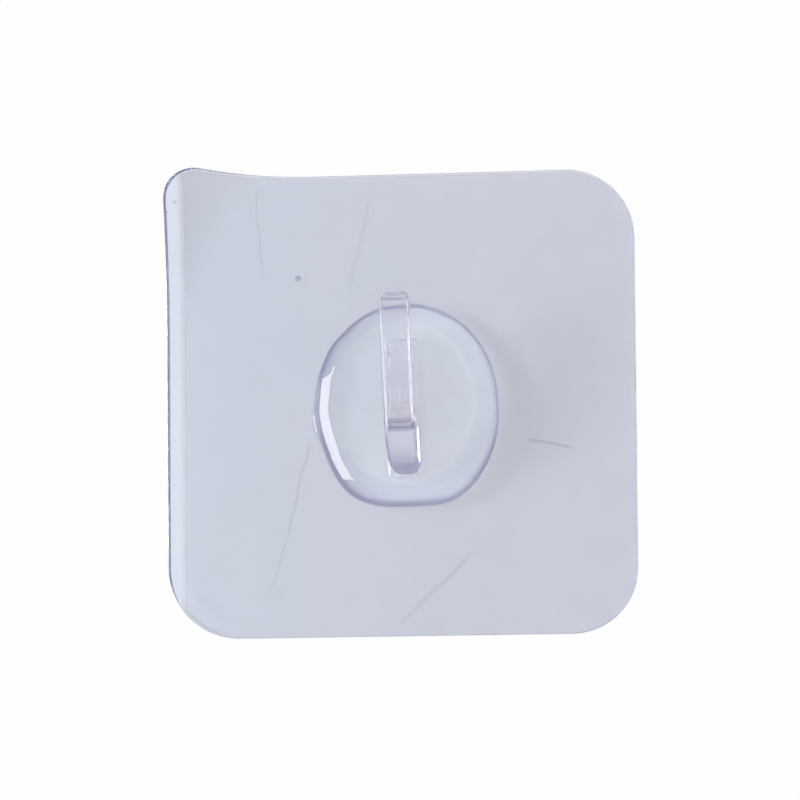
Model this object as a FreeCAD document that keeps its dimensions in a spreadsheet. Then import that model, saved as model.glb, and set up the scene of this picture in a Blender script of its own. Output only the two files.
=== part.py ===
import FreeCAD, Part
import Sketcher
import math
import os

# A clear adhesive wall hook, in millimetres.
# A flexible square pad stands in the XZ plane and shows its front towards -Y, with +Z up.
# The origin is on the flat back face that is stuck to the wall, in the middle of the pad.
# A poured resin dome on the pad's front holds the foot of a J-shaped moulded hook.

Vector = FreeCAD.Vector

SIZES = {
    # outline of the pad
    "pad_width": 60.0,
    "pad_height": 58.8,
    "pad_thick": 1.0,
    "film_thick": 0.3,
    "corner_top_right": 8.7,
    "corner_bottom_right": 8.4,
    "corner_bottom_left": 9.1,
    "corner_top_left": 4.0,
    # the top edge is straight from the right, then rises in an arc towards the left corner
    "rise_place": 10.4,
    "rise_left": 2.2,
    # the left margin and the top left corner are curled forwards
    "curl_foot_width": 1.3,
    "curl_foot_lift": 0.3,
    "curl_side_width": 2.1,
    "curl_side_lift": 0.7,
    "curl_corner_width": 13.0,
    "curl_corner_lift": 3.6,
    "curl_corner_start": 21.0,
    # how far the curl is drawn past the pad's left edge, before it is trimmed
    "curl_spare": 0.4,
    # the flat part of the pad starts this far from the curled margin
    "seam_spare": 3.0,
    # how far the flat part is drawn past the pad's right edge, and the die past the pad
    "flat_spare": 2.0,
    "die_spare": 5.0,
    # the resin dome, an ellipse with an uneven edge
    "dome_width": 23.6,
    "dome_length": 26.1,
    "dome_thick": 2.9,
    "dome_shoulder": 3.0,
    "dome_right": 0.8,
    # a flat drop of resin that crept out on the left
    "bead_width": 5.6,
    "bead_height": 1.2,
    "bead_proud": 0.5,
    "bead_drop": 1.9,
    # the hook, seen from its side
    "hook_width": 3.8,
    "hook_right": 1.2,
    "heel_level": 9.4,
    "strip_level": 8.1,
    "tip_level": 12.7,
    "throat_level": 3.3,
    "strip_thick": 3.2,
    "tongue_thick": 2.5,
    "tip_reach": 13.2,
    "tongue_lean": 13.0,
    "heel_round": 8.8,
    "throat_round": 1.6,
    # the hook's corners seen from its front, and its long edges
    "tip_corner": 0.8,
    "strip_corner": 0.7,
    "outer_round": 0.8,
    "inner_round": 0.35,
}

# How far the resin ran past the ellipse at each hour of a clock face, from twelve.
RESIN_RUN = (-0.23, -0.14, -0.1, 0.06, 0.55, 0.98, 0.03, 0.95, 0.1, 0.01, -0.05, -0.18)

# The resin's wall curls over like the quarter of an ellipse, in this many level bands.
DOME_BANDS = 7

# The curled margin is lofted through this many level sections, a little past the pad's ends.
CURL_SECTIONS = 15
CURL_OVERRUN = 1.08

# The curled corner is this much wider at the very top of the pad than at the height of its edge.
CURL_TOP = 1.2

# How a sketch counts a line's points, and the number of its origin and of its upright axis.
START, END, CENTRE = range(1, 4)
ORIGIN, UPRIGHT = range(-1, -3, -1)

# Two places this near to each other are the same one; a picked edge's middle may lie this far off.
SAME = 0.001
NEAR = 0.05

doc = FreeCAD.newDocument("adhesive_wall_hook")
sheet = doc.addObject("Spreadsheet::Sheet", "Sizes")
for row, (alias, value) in enumerate(SIZES.items(), start=1):
    sheet.set(f"A{row}", alias)
    sheet.set(f"B{row}", str(value))
    sheet.setAlias(f"B{row}", alias)
doc.recompute()


def size(alias):
    """A driving dimension, read from the sheet."""
    return float(sheet.get(alias))


def bind(thing, prop, expression):
    """Tie a property to the sheet; the expression names its cells as Sizes.alias."""
    thing.setExpression(prop, expression)


def new_body(name):
    return doc.addObject("PartDesign::Body", name)


def new_sketch(body, name, role):
    """A sketch on one of the body's own origin planes."""
    sketch = body.newObject("Sketcher::SketchObject", name)
    plane = next(item for item in body.Origin.OriginFeatures if item.Role == role)
    sketch.AttachmentSupport = [(plane, "")]
    sketch.MapMode = "FlatFace"
    return sketch


def constrain(sketch, name, expression, *rule):
    """Add a constraint and tie its value to the sheet."""
    index = sketch.addConstraint(Sketcher.Constraint(*rule))
    sketch.renameConstraint(index, name)
    bind(sketch, f"Constraints.{name}", expression)


def add_polygon(sketch, corners):
    """Straight lines round the corners, joined end to start."""
    count = len(corners)
    for index, corner in enumerate(corners):
        following = corners[(index + 1) % count]
        sketch.addGeometry(Part.LineSegment(Vector(*corner, 0), Vector(*following, 0)), False)
    for index in range(count):
        link = Sketcher.Constraint("Coincident", index, END, (index + 1) % count, START)
        sketch.addConstraint(link)


def edges_at(shape, places):
    """Names of the edges whose middle lies at one of the places."""
    names = []
    for number, edge in enumerate(shape.Edges, start=1):
        middle = edge.valueAt((edge.FirstParameter + edge.LastParameter) / 2)
        if any(middle.distanceToPoint(place) < NEAR for place in places):
            names.append(f"Edge{number}")
    if len(names) < len(places):
        raise ValueError(f"only {len(names)} of {len(places)} edges found")
    return names


def round_edges(body, name, places, radius):
    """Fillet the edges of the body's last feature that run through the places."""
    base = body.Tip
    fillet = body.newObject("PartDesign::Fillet", name)
    fillet.Base = (base, edges_at(base.Shape, places))
    bind(fillet, "Radius", radius)
    doc.recompute()
    return fillet


def cutter_outline():
    """The die that trims the pad: a prism along Y with the pad's outline."""
    body = new_body("pad_die")
    sketch = new_sketch(body, "die_outline", "XZ_Plane")
    half = size("pad_width") / 2
    top = size("pad_height") / 2
    left_top = top + size("rise_left")
    turn = Vector(-size("rise_place"), top, 0)

    curves = (
        Part.LineSegment(Vector(half, -top, 0), Vector(half, top, 0)),
        Part.LineSegment(turn, Vector(half, top, 0)),
        rising_arc(turn, Vector(-half, left_top, 0)),
        Part.LineSegment(Vector(-half, left_top, 0), Vector(-half, -top, 0)),
        Part.LineSegment(Vector(-half, -top, 0), Vector(half, -top, 0)),
    )
    right_side, top_line, top_arc, left_side, bottom = range(len(curves))
    for curve in curves:
        sketch.addGeometry(curve, False)

    # the arc runs anticlockwise, so it starts at the left corner
    links = (
        (right_side, END, top_line, END),
        (top_line, START, top_arc, END),
        (top_arc, START, left_side, START),
        (left_side, END, bottom, START),
        (bottom, END, right_side, START),
    )
    for link in links:
        sketch.addConstraint(Sketcher.Constraint("Coincident", *link))
    # the arc is level where it meets the line, so its middle stands right above
    sketch.addConstraint(Sketcher.Constraint("Vertical", top_line, START, top_arc, CENTRE))
    for side in (right_side, left_side):
        sketch.addConstraint(Sketcher.Constraint("Vertical", side))
    for side in (top_line, bottom):
        sketch.addConstraint(Sketcher.Constraint("Horizontal", side))
    rules = (
        ("right_place", "Sizes.pad_width / 2", "DistanceX", ORIGIN, START, right_side, START, half),
        ("width", "Sizes.pad_width", "DistanceX", bottom, START, bottom, END, 2 * half),
        ("bottom_level", "Sizes.pad_height / 2", "DistanceY", bottom, START, ORIGIN, START, top),
        ("height", "Sizes.pad_height", "DistanceY", right_side, START, right_side, END, 2 * top),
        ("turn_place", "Sizes.rise_place", "DistanceX", top_line, START, ORIGIN, START, -turn.x),
        ("left_rise", "Sizes.rise_left", "DistanceY", top_line, START, top_arc, START, left_top - top),
    )
    for rule in rules:
        constrain(sketch, *rule)

    prism = body.newObject("PartDesign::Pad", "die_prism")
    prism.Profile = sketch
    prism.Midplane = True
    reach = "Sizes.curl_corner_lift + Sizes.pad_thick + Sizes.film_thick + Sizes.die_spare"
    bind(prism, "Length", f"2 * ({reach})")
    doc.recompute()

    corners = (
        ("die_top_right", Vector(half, 0, top), "Sizes.corner_top_right"),
        ("die_bottom_right", Vector(half, 0, -top), "Sizes.corner_bottom_right"),
        ("die_bottom_left", Vector(-half, 0, -top), "Sizes.corner_bottom_left"),
        ("die_top_left", Vector(-half, 0, left_top), "Sizes.corner_top_left"),
    )
    for name, place, radius in corners:
        round_edges(body, name, [place], radius)
    return body


def rising_arc(low, end):
    """An arc that is level at its low point and rises to its end on the left."""
    run = end.x - low.x
    rise = end.y - low.y
    radius = (run ** 2 + rise ** 2) / (2 * rise)
    circle = Part.Circle(Vector(low.x, low.y + radius, 0), Vector(0, 0, 1), radius)
    down = -math.pi / 2
    return Part.ArcOfCircle(circle, down + math.asin(run / radius), down)


def curl_at(level):
    """Width and lift of the curled margin at one height of the pad."""
    half = size("pad_height") / 2
    up_side = min(max(1 + level / half, 0), 1)
    width = size("curl_foot_width") + (size("curl_side_width") - size("curl_foot_width")) * up_side
    lift = size("curl_foot_lift") + (size("curl_side_lift") - size("curl_foot_lift")) * up_side
    start = half - size("curl_corner_start")
    share = max(level - start, 0) / (half - start)
    ease = share ** 2
    width += (size("curl_corner_width") - size("curl_side_width")) * ease
    lift += (size("curl_corner_lift") - size("curl_side_lift")) * ease
    return width, lift


def curl_section(level, back, front):
    """A closed wire through one layer of the margin: flat from the seam, then a parabola."""
    width, lift = curl_at(level)
    seam = margin_seam()
    bend = width - size("pad_width") / 2

    def place(x, distance):
        return Vector(x, -distance, level)

    # the parabola runs on past the pad's edge, where the die trims it
    run = width + size("curl_spare")
    rise = lift * (run / width) ** 2

    def parabola(distance):
        tip = place(bend - run, distance + rise)
        curve = Part.BezierCurve()
        curve.setPoles([place(bend, distance), place(bend - run / 2, distance), tip])
        return curve

    outside = parabola(front)
    inside = parabola(back)
    inside.reverse()
    curves = (
        Part.LineSegment(place(seam, front), place(bend, front)),
        outside,
        Part.LineSegment(place(bend - run, front + rise), place(bend - run, back + rise)),
        inside,
        Part.LineSegment(place(bend, back), place(seam, back)),
        Part.LineSegment(place(seam, back), place(seam, front)),
    )
    return Part.Wire([curve.toShape() for curve in curves])


def margin_seam():
    """Where the curled margin joins the flat rest of the pad."""
    return -size("pad_width") / 2 + size("curl_corner_width") * CURL_TOP + size("seam_spare")


def layer(name, label, back, front, die):
    """One layer of the pad: a flat part and a curled margin, trimmed by the die."""
    near, far = (sum(size(alias) for alias in stack) for stack in (back, front))
    reach = size("pad_height") / 2 * CURL_OVERRUN
    step = 2 * reach / (CURL_SECTIONS - 1)
    sections = [curl_section(index * step - reach, near, far) for index in range(CURL_SECTIONS)]
    margin = doc.addObject("Part::Feature", f"{name}_margin")
    margin.Shape = Part.makeLoft(sections, True, False)

    flat = doc.addObject("Part::Box", f"{name}_flat")
    thick = " + ".join(f"Sizes.{alias}" for alias in front[len(back):])
    out = " + ".join(f"Sizes.{alias}" for alias in front)
    margin_reach = f"Sizes.curl_corner_width * {CURL_TOP} + Sizes.seam_spare"
    bind(flat, "Length", f"Sizes.pad_width + Sizes.flat_spare - ({margin_reach})")
    bind(flat, "Width", thick)
    bind(flat, "Height", f"Sizes.pad_height * {CURL_OVERRUN}")
    bind(flat, "Placement.Base.x", f"{margin_reach} - Sizes.pad_width / 2")
    bind(flat, "Placement.Base.y", f"-({out})")
    bind(flat, "Placement.Base.z", f"-Sizes.pad_height / 2 * {CURL_OVERRUN}")

    blank = doc.addObject("Part::MultiFuse", f"{name}_blank")
    blank.Shapes = [flat, margin]
    blank.Refine = True
    trimmed = doc.addObject("Part::Common", name)
    trimmed.Base = blank
    trimmed.Tool = die
    trimmed.Label = label
    return trimmed


def hook_corners():
    """Corners of the hook's side view as (y, z), the pad's front at y = 0."""
    lean = math.radians(size("tongue_lean"))
    rise, out = math.cos(lean), math.sin(lean)
    tip, heel, throat = size("tip_level"), -size("heel_level"), -size("throat_level")
    tip_front = Vector(0, -size("tip_reach"), tip)
    across = Vector(0, rise, out) * size("tongue_thick")
    along = Vector(0, out, -rise)
    tip_back = tip_front + across
    front_heel = tip_front + along * ((tip - heel) / rise)
    back_throat = tip_back + along * ((tip_back.z - throat) / rise)
    strip = size("strip_thick")
    return {
        "heel_pad": (0, heel),
        "strip_pad": (0, size("strip_level")),
        "strip_top": (-strip, size("strip_level")),
        "throat_strip": (-strip, throat),
        "throat_tongue": (back_throat.y, throat),
        "tip_back": (tip_back.y, tip_back.z),
        "tip_front": (tip_front.y, tip),
        "heel_front": (front_heel.y, heel),
    }


def side_view(body, corners):
    """The hook's side view as a sketch on its middle plane."""
    sketch = new_sketch(body, "side_view", "YZ_Plane")
    add_polygon(sketch, list(corners.values()))
    pad_line, strip_end, strip_front, floor, back, tip, front, heel = range(8)
    for line in (pad_line, strip_front):
        sketch.addConstraint(Sketcher.Constraint("Vertical", line))
    for line in (strip_end, floor, heel):
        sketch.addConstraint(Sketcher.Constraint("Horizontal", line))
    sketch.addConstraint(Sketcher.Constraint("PointOnObject", pad_line, START, UPRIGHT))
    sketch.addConstraint(Sketcher.Constraint("Parallel", back, front))
    sketch.addConstraint(Sketcher.Constraint("Perpendicular", front, tip))
    rules = (
        ("heel_depth", "heel_level", "DistanceY", pad_line, START, ORIGIN, START),
        ("strip_height", "strip_level", "DistanceY", ORIGIN, START, pad_line, END),
        ("strip_depth", "strip_thick", "DistanceX", strip_end, END, ORIGIN, START),
        ("throat_depth", "throat_level", "DistanceY", floor, START, ORIGIN, START),
        ("tip_height", "tip_level", "DistanceY", ORIGIN, START, tip, END),
        ("reach", "tip_reach", "DistanceX", tip, END, ORIGIN, START),
        ("thickness", "tongue_thick", "Distance", tip, START, tip, END),
    )
    for name, alias, *rule in rules:
        constrain(sketch, name, f"Sizes.{alias}", *rule, size(alias))
    slope = math.radians(90 + size("tongue_lean"))
    lines = (heel, START, front, END)
    constrain(sketch, "lean", "90 deg + Sizes.tongue_lean * 1 deg", "Angle", *lines, slope)
    doc.recompute()
    return sketch


def make_hook():
    """The moulded hook: foot strip, heel, throat and a tongue that leans forwards."""
    body = new_body("hook")
    corners = hook_corners()
    blank = body.newObject("PartDesign::Pad", "hook_blank")
    blank.Profile = side_view(body, corners)
    blank.Midplane = True
    bind(blank, "Length", "Sizes.hook_width")
    doc.recompute()

    half = size("hook_width") / 2

    def middle(names, across):
        """The middle of the line between two corners, off to one side."""
        ends = [Vector(0, *corners[name]) for name in names]
        return (ends[0] + ends[-1]) / 2 + Vector(across, 0, 0)

    def both(*names):
        return [middle(names, -half), middle(names, half)]

    round_edges(body, "heel_bend", [middle(["heel_front"], 0)], "Sizes.heel_round")
    throat = [middle(["throat_strip"], 0), middle(["throat_tongue"], 0)]
    round_edges(body, "throat_bend", throat, "Sizes.throat_round")
    round_edges(body, "tip_corners", both("tip_back", "tip_front"), "Sizes.tip_corner")
    round_edges(body, "strip_corners", both("strip_top", "strip_pad"), "Sizes.strip_corner")
    outer = [long_edge_place(body, side, corners["tip_front"], corners["heel_front"])
             for side in (-half, half)]
    round_edges(body, "outer_edges", outer, "Sizes.outer_round")
    inner = [long_edge_place(body, side, corners["tip_back"], corners["throat_tongue"])
             for side in (-half, half)]
    round_edges(body, "inner_edges", inner, "Sizes.inner_round")

    bind(body, "Placement.Base.x", "Sizes.hook_right")
    bind(body, "Placement.Base.y", "-(Sizes.film_thick + Sizes.pad_thick)")
    body.Label = "hook"
    doc.recompute()
    return body


def long_edge_place(body, side, upper, lower):
    """The middle of the straight edge that runs along the line between two corners."""
    line = Part.LineSegment(Vector(side, *upper), Vector(side, *lower)).toShape()
    for edge in body.Shape.Edges:
        ends = [vertex.Point for vertex in edge.Vertexes]
        apart = max(line.distToShape(Part.Vertex(point))[0] for point in ends)
        if apart < SAME and edge.Length > line.Length / 2:
            return (ends[0] + ends[-1]) / 2
    raise ValueError("no long edge there")


def ellipse_reach(angle):
    """Distance from the dome's middle to its ellipse; the angle is from +Z towards +X."""
    across = math.sin(angle) / (size("dome_width") / 2)
    along = math.cos(angle) / (size("dome_length") / 2)
    return 1 / math.hypot(across, along)


def dome_outline(inset):
    """The resin's closed outline, drawn in by the inset all round."""
    points = []
    for hour, run in enumerate(RESIN_RUN):
        angle = 2 * math.pi * hour / len(RESIN_RUN)
        reach = ellipse_reach(angle) + run - inset
        points.append(Vector(reach * math.sin(angle), reach * math.cos(angle), 0))
    outline = Part.BSplineCurve()
    outline.interpolate(Points=points, PeriodicFlag=True)
    return outline


def dome_puddle():
    """The poured resin: level outlines that draw in like the quarter of an ellipse."""
    body = new_body("dome_puddle")
    outlines = []
    for number in range(DOME_BANDS + 1):
        degrees = 90 * number / DOME_BANDS
        sketch = new_sketch(body, f"dome_outline_{number}", "XZ_Plane")
        inset = size("dome_shoulder") * (1 - math.cos(math.radians(degrees)))
        sketch.addGeometry(dome_outline(inset), False)
        bind(sketch, "AttachmentOffset.Base.z", f"Sizes.dome_thick * sin({degrees} deg)")
        outlines.append(sketch)
    doc.recompute()
    pour = body.newObject("PartDesign::AdditiveLoft", "dome_pour")
    pour.Profile = outlines[0]
    pour.Sections = outlines[1:]
    pour.Ruled = True
    bind(body, "Placement.Base.x", "Sizes.dome_right")
    bind(body, "Placement.Base.y", "-(Sizes.film_thick + Sizes.pad_thick)")
    doc.recompute()
    return body


def dome_bead():
    """A flat drop of resin, a cap of a ball, that shows past the dome's left side."""
    half = "Sizes.bead_width / 2"
    ball = f"(({half}) ^ 2 + Sizes.bead_height ^ 2) / (2 * Sizes.bead_height)"
    bead = doc.addObject("Part::Sphere", "dome_bead")
    bind(bead, "Radius", ball)
    bind(bead, "Angle1", f"asin(1 - Sizes.bead_height / ({ball}))")
    forwards = FreeCAD.Rotation(Vector(0, 0, 1), Vector(0, -1, 0))
    bead.Placement = FreeCAD.Placement(Vector(0, 0, 0), forwards)
    left = "Sizes.dome_right - Sizes.dome_width / 2 - Sizes.bead_proud"
    bind(bead, "Placement.Base.x", f"{left} + {half}")
    sunk = f"({ball} - Sizes.bead_height)"
    bind(bead, "Placement.Base.y", f"-(Sizes.film_thick + Sizes.pad_thick) + {sunk}")
    bind(bead, "Placement.Base.z", "-Sizes.bead_drop")
    return bead


def make_dome(hook):
    """The resin dome with its bead, set round the foot of the hook."""
    whole = doc.addObject("Part::MultiFuse", "dome_whole")
    whole.Shapes = [dome_puddle(), dome_bead()]
    dome = doc.addObject("Part::Cut", "resin_dome")
    dome.Base = whole
    dome.Tool = hook
    dome.Label = "resin_dome"
    doc.recompute()
    return dome


die = cutter_outline()
film = layer("adhesive_film", "adhesive_film", (), ("film_thick",), die)
pad = layer("pad_sheet", "pad_sheet", ("film_thick",), ("film_thick", "pad_thick"), die)
hook = make_hook()
dome = make_dome(hook)
doc.recompute()

NODES = (film, pad, dome, hook)

for item in doc.Objects:
    if "Invalid" in item.State or "Error" in item.State:
        raise ValueError(f"{item.Name} failed: {item.State}")
for node in NODES:
    if node.Shape.isNull() or not node.Shape.isValid():
        raise ValueError(f"{node.Label} has no valid shape")

os.makedirs("parts", exist_ok=True)
for node in NODES:
    node.Shape.exportStep(f"parts/{node.Label}.step")
    print(f"{node.Label}: {len(node.Shape.Solids)} solid, {node.Shape.Volume:.1f} mm3")
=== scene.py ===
import math

import bmesh
import bpy
from mathutils import Matrix, Vector, noise
from mathutils.geometry import delaunay_2d_cdt

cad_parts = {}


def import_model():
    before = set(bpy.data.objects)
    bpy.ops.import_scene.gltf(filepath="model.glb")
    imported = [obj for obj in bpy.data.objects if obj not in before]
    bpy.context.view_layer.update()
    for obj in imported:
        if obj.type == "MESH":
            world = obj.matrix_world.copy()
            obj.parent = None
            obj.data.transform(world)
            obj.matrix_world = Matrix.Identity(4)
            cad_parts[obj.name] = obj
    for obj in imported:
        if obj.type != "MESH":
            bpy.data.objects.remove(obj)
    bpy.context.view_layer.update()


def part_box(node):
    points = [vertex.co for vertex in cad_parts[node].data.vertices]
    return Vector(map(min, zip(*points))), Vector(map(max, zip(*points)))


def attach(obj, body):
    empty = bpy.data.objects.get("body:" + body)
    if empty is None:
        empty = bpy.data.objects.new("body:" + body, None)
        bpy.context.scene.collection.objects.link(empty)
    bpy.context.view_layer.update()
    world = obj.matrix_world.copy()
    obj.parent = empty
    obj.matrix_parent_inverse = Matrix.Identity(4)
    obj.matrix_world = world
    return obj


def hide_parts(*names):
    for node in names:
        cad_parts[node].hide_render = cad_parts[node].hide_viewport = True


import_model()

# Lengths below are in millimetres, in the frame of the CAD model; mesh data is written in metres.
MM = 0.001


def node_corners(node):
    """The lowest and the highest corner of a CAD node, in millimetres, to a hundredth."""
    return [[round(float(value) / MM, 2) for value in corner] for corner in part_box(node)]


PAD_LOW, PAD_HIGH = node_corners("pad_sheet")
DOME_LOW, DOME_HIGH = node_corners("resin_dome")
HOOK_LOW, HOOK_HIGH = node_corners("hook")

# Points nearer to each other than this are one point, in a mesh and in a flat triangulation.
SAME = 0.0005
SAME_FLAT = 0.00001
# Faces that meet at a sharper turn than this keep a crisp edge.
CREASE = math.radians(35)
# Material numbers of a face: in air, bonded to another clear solid, or bonded with a haze.
OUTER, BONDED, HAZED = range(3)

# Levels of the layers in front of the wall.
PAD_BACK = -PAD_HIGH[1]
PAD_FRONT = -DOME_HIGH[1]
# Clear solids that are bonded to each other reach this far into one another, so that no air shows.
BOND = 0.04

# The pad's outline.
HALF_WIDTH = PAD_HIGH[0]
HALF_HEIGHT = -PAD_LOW[2]
CORNER = {"top_right": 8.7, "bottom_right": 8.4, "bottom_left": 9.1, "top_left": 4.0}
CORNER_STEPS = 24
# The top edge is straight from the right, then rises towards the left corner.
RISE_X = -10.4
RISE_LEFT = 2.19

# The curled left margin and top left corner: how wide the curl is, and how far it lifts.
CURL_FOOT = (1.3, 0.3)
CURL_SIDE = (2.1, 0.7)
CURL_CORNER = (13.0, 3.6)
# The corner's curl starts this far below the straight top edge.
CURL_CORNER_RUN = 21.0
CURL_CORNER_START = HALF_HEIGHT - CURL_CORNER_RUN

# The sheets' mesh: how round the rims are, the places of the rim's lines, and the steps of the grids.
PAD_EDGE = 0.22
FILM_EDGE = 0.1
EDGE_SHARES = (0.0, 0.12, 0.35, 0.65, 1.0)
OUTLINE_STEP = 0.5
PAD_GRID = 0.6
FILM_GRID = 1.5
# A grid keeps this share of its step clear of the lines round it.
GRID_CLEAR = 0.6
# A corner's point moves inwards by no more than the distance over this.
MITRE_LEAST = 0.5
# The cast sheet isn't quite flat.
SWELL = 0.02
SWELL_SIZE = 9

# The resin dome.
DOME_X = 0.8
DOME_HALF = (11.8, 13.05)
DOME_THICK = round(-DOME_LOW[1] - PAD_FRONT, 2)
DOME_SHOULDER = 3.0
RESIN_RUN = (-0.23, -0.14, -0.1, 0.06, 0.55, 0.98, 0.03, 0.95, 0.1, 0.01, -0.05, -0.18)
# The drop that crept out at its left.
BEAD_WIDTH = 5.6
BEAD_HEIGHT = 0.8
BEAD_OUT = 0.5
BEAD_X = DOME_X - DOME_HALF[0] - BEAD_OUT + BEAD_WIDTH / 2
BEAD_Z = -1.9
BEAD_PROUD = 0.4
# Its fine forms: a low crown, ripples, a rise where the resin wets the hook, a wavy foot.
DOME_CROWN = 0.1
RIPPLE_SIZE = 4.0
RIPPLE_HEIGHT = 0.04
WETTING_REACH = 0.35
WETTING_HEIGHT = 0.3
FOOT_WAVE = 0.12
FOOT_WAVES = 4.0
# Its mesh: steps round it, up its wall, up the drop's lip, and across its top.
DOME_SEGMENTS = 320
DOME_WALL_STEPS = 24
DOME_LIP_STEPS = 5
DOME_GRID = 0.3
FOOT_PRINT_STEPS = 8

# The hook's side view and width.
HOOK_X = round((HOOK_LOW[0] + HOOK_HIGH[0]) / 2, 2)
HEEL_Z = HOOK_LOW[2]
STRIP_Z = 8.1
TIP_Z = 12.7
THROAT_Z = -3.3
STRIP_THICK = 3.2
TONGUE_THICK = 2.5
TIP_REACH = 13.2
TONGUE_LEAN = math.radians(13)
HEEL_ROUND = 8.8
THROAT_FRONT_ROUND = 2.6
THROAT_BACK_ROUND = 0.9
WIDTH_HEEL = 3.9
WIDTH_TIP = 3.6
# Corners seen from the front, at the tongue's tip, the strip's top and the heel.
TIP_CORNER = 0.8
STRIP_CORNER = 0.7
HEEL_CORNER = 1.1
# What stands further than this in front of the strip belongs to the tongue.
TONGUE_CLEAR = 1.6
# How round the long edges are, on the front, on the back, at the tip and round the foot.
OUTER_ROUND = 0.75
INNER_ROUND = 0.35
TIP_ROUND = 0.3
FOOT_ROUND = 0.12
# A sharp corner of the side view is rounded by this much more than the long edge there.
EDGE_EASE = 0.08
# The hook is wetted by the resin up to here; the rest of it stands in air.
WETTED = 3.15
# Its mesh steps.
HOOK_STEP = 0.25
EDGE_STEPS = 6

# Air bubbles in the pad: a middle and a radius; they are flattened by this much.
BUBBLES = (((-13.1, -0.85, 16.4), 0.34),)
BUBBLE_FLAT = 0.4
BUBBLE_DETAIL = 3

# The photograph's camera: right of the pad's middle and a little below it, rolled by a touch.
CAMERA_AZIMUTH = math.radians(8.8)
CAMERA_ELEVATION = math.radians(-5.0)
CAMERA_DISTANCE = 700.0
CAMERA_LENS = 248.3
CAMERA_SENSOR = 36.0
CAMERA_ROLL = math.radians(0.46)
CAMERA_AIM = (-0.02, -1.3, 0.54)

# The stage, in metres: the floor's level, radius and sides.
FLOOR_Z = -0.8
FLOOR_REACH = 1.9
FLOOR_SIDES = 96
# The lamps, in metres and watts: place, size and energy. Both point at the middle of the wall face.
KEY = ((-0.60, -0.34, 0.06), (0.18, 0.24), 13.0)
WINDOW = ((-0.76, -0.32, -0.08), (0.8, 0.75), 14.0)
# The way to the middle of the backdrop, and the light by how directly a ray goes there, from -1 to 1.
BACKDROP = (-0.30, 0.95, 0.0)
SKY = (
    (-1.0, (0.62, 0.62, 0.65)),
    (-0.1, (0.58, 0.57, 0.64)),
    (0.75, (0.48, 0.46, 0.58)),
    (0.955, (0.99, 0.99, 0.99)),
)
# How often light may pass or be mirrored by the nested clear solids, and how far a mirrored lamp blurs.
BOUNCES = 80
MIRROR_BOUNCES = 32
MIRROR_BLUR = 0.15

# How rough each surface is, and how much it bends light.
VINYL_ROUGH, VINYL_IOR = 0.11, 1.45
GLUE_ROUGH, GLUE_IOR = 0.1, 1.45
RESIN_ROUGH, RESIN_IOR = 0.025, 1.48
PLASTIC_ROUGH, PLASTIC_IOR = 0.03, 1.5
PAPER_ROUGH, PAPER_IOR = 0.8, 1.45
# How much more a solid bends light than the one it is bonded to.
BONDED_IOR = 1.01
# The roughest patches are this much rougher than the smoothest.
ROUGH_SPREAD = 1.4
# Noise below the first is all of one kind, above the second all of the other.
PATCH_LOW, PATCH_HIGH = 0.35, 0.65

# The vinyl's clear tints, bluish to the left and pinker to the right, and a dark tint for old smudges and
# for painted shade in its creases.
VINYL_LEFT = (0.735, 0.775, 0.855)
VINYL_RIGHT = (0.745, 0.755, 0.82)
VINYL_SMUDGE = (0.72, 0.73, 0.80)
# Painted light: the curled margin is made paler, standing in for light that comes through it from behind.
VINYL_PAINTED_BACKLIGHT = (0.86, 0.91, 1.0)
VINYL_SMUDGE_AND_CREASE_SHADE = (0.45, 0.46, 0.52)
# Painted shade and light under the resin: darker to the left, paler to the right.
WET_VINYL_PAINTED_SHADE = (0.79, 0.82, 0.88)
WET_VINYL_PAINTED_LIGHT = (0.93, 0.965, 1.0)
CLOUD_SIZE = 24.0
SMUDGE_SIZE = 7.0
# The range of noise that smudges the sheet, and how strongly at its two ends.
SMUDGING = (0.45, 0.75, 0, 0.35)
# Where the pad starts to curl, over what width its look changes there, and how much painted light makes it
# paler.
CURL_EDGE = -27.5
CURL_BLEND = 1.3
CURL_PAINTED_BACKLIGHT = 0.9
# Under the resin the tint changes from left to right between these places, unevenly: painted shade to the
# left, painted light to the right.
WET_FROM, WET_TO = -5.0, 8.0
WET_PATCH = 5.0
WET_WANDER = 6.0
# Creases and scratches: two ends (x, z), half width, depth, and how much painted shade darkens them.
STREAKS = (
    ((-18.6, 28.6), (-17.7, 16.4), 0.35, 0.008, 0.4),
    ((-3.3, 27.9), (-6.9, 13.2), 0.45, 0.008, 0.3),
    ((-11.4, -3.6), (-14.9, -18.0), 0.35, 0.01, 0.5),
    ((-14.7, -17.0), (-17.0, -24.4), 0.35, 0.01, 0.35),
    ((9.8, -18.5), (-1.0, -28.6), 0.45, 0.01, 0.5),
    ((16.0, -4.8), (22.4, -6.0), 0.4, 0.012, 0.8),
)
# They wander from side to side, and start to fade at this share of their length off their middle.
STREAK_WANDER = 3.0
STREAK_SWAY = 0.9
STREAK_FULL = 0.35
# Smudges: a middle (x, z), a radius, and how dark they are.
SMUDGES = (
    ((-15.4, -24.0), 1.4, 0.15),
    ((4.5, -28.8), 1.6, 0.12),
    ((-28.6, 26.3), 0.45, 0.7),
    ((29.0, -23.6), 0.4, 0.5),
)

# The haze at the pad's back: its colour, a paler colour of painted light where the margin curls, how much of
# the light goes straight on, and how that varies.
HAZE = (0.655, 0.685, 0.755)
HAZE_PAINTED_BACKLIGHT = (0.77, 0.81, 0.9)
HAZE_CLEAR = 0.66
HAZE_VARIES = 0.03
HAZE_CURLED = 0.9
HAZE_DETAIL = 4.0

# The glue: clear and cloudy patches, and specks where the noise is above a level.
GLUE = (0.98, 0.985, 0.99)
GLUE_CLOUDY = (0.95, 0.96, 0.98)
GLUE_SPECK = (0.85, 0.87, 0.9)
GLUE_PATCH = 12.0
SPECK_SIZE = 0.8
SPECK_FROM, SPECK_TO = 0.68, 0.74
SPECK_SHARE = 0.3
SPECK_DEPTH = 0.03
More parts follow.
